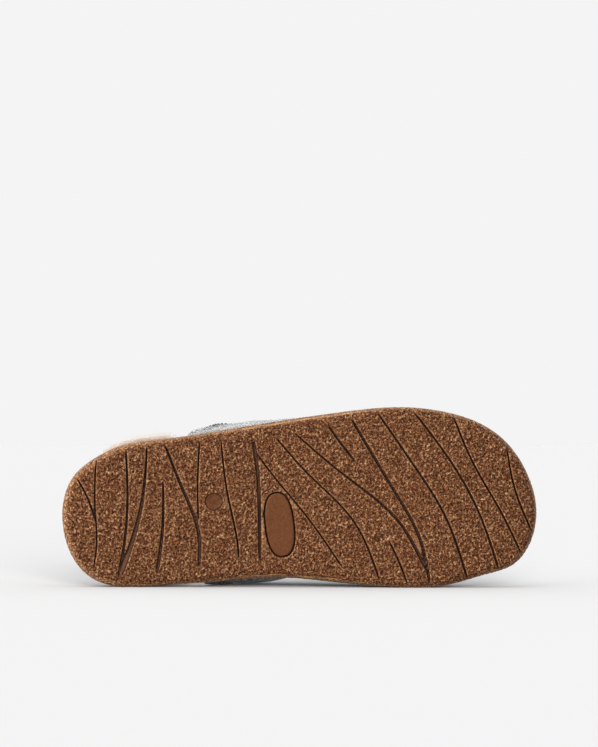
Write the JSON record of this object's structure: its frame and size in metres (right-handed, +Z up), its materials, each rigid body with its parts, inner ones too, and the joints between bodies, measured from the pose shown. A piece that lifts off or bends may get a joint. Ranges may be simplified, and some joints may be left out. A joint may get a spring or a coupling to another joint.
{
  "type": "mule slipper",
  "caption": "Right-foot mule slipper lying on its inner side: crumb-rubber outsole with crooked tread grooves, hollow felt upper open at the heel, and a fleece insole.",
  "frame": {"origin": "centre of the bounding box on the floor that the slipper lies on", "axes": "+X from heel to toe, +Y from the tread towards the instep, +Z up, which is towards the shoe's outer side"},
  "size_m": [0.262, 0.0912, 0.0995],
  "materials": {
    "crumb_rubber": "moulded brown crumb rubber with a pebbled, slightly glossy grain and golden-tan high spots",
    "grey_felt": "matt heather-grey wool felt with dark and pale flecks",
    "cream_fleece": "matt cream fleece pile"
  },
  "bodies": {
    "root": {"outsole": "crumb_rubber", "upper": "grey_felt", "insole": "cream_fleece"}
  },
  "joints": []
}
